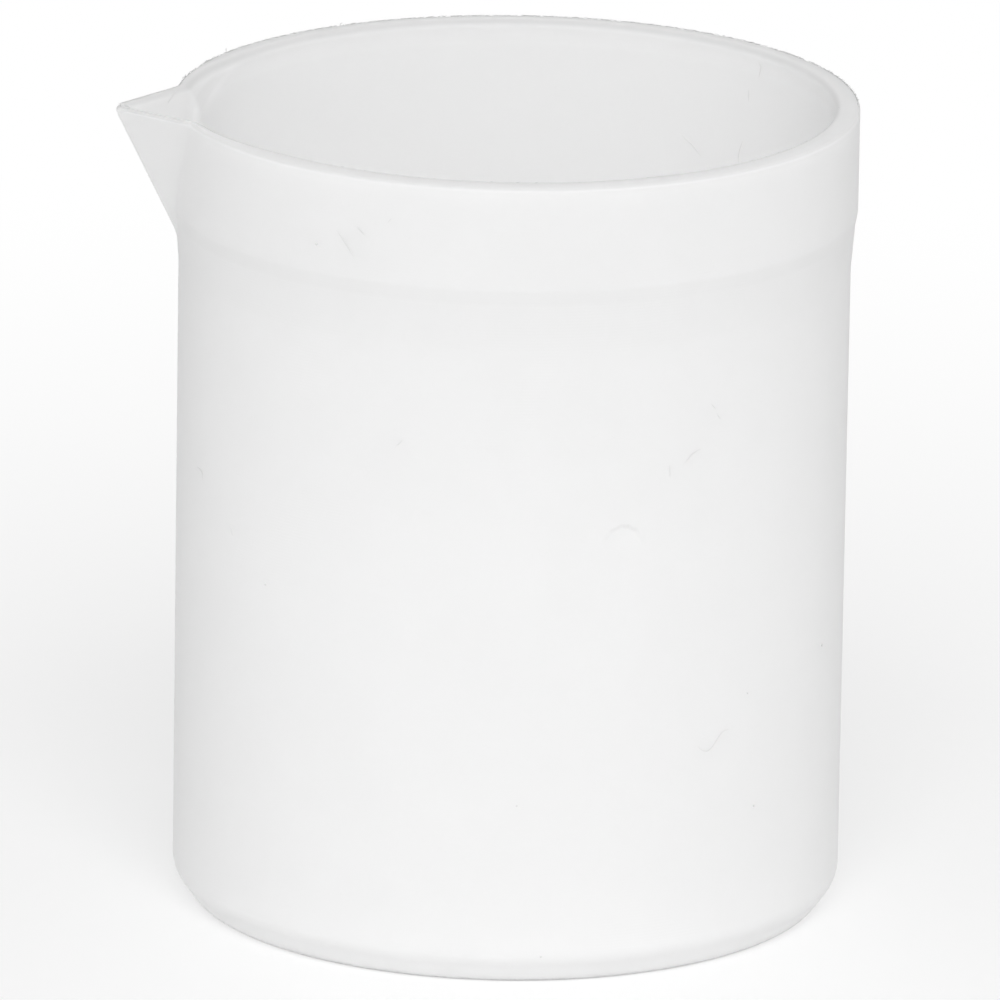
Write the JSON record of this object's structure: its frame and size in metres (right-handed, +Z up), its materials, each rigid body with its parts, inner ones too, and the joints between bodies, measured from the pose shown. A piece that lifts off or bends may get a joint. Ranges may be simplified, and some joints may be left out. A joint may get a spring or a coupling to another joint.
{
  "type": "laboratory beaker",
  "caption": "White fluoropolymer laboratory beaker: a low cylindrical cup with a chamfered foot, a thicker collar under the rim and a V-shaped pouring spout.",
  "frame": {"origin": "centre of the flat base, on the cup's axis", "axes": "+Z up along the cup's axis and out of its mouth; -X out through the pouring spout; +Y completes the right-handed frame, across the spout"},
  "size_m": [0.0796, 0.0732, 0.0881],
  "materials": {
    "fluoropolymer": "satin, waxy white, as moulded and turned"
  },
  "bodies": {
    "root": {"beaker": "fluoropolymer"}
  },
  "joints": []
}
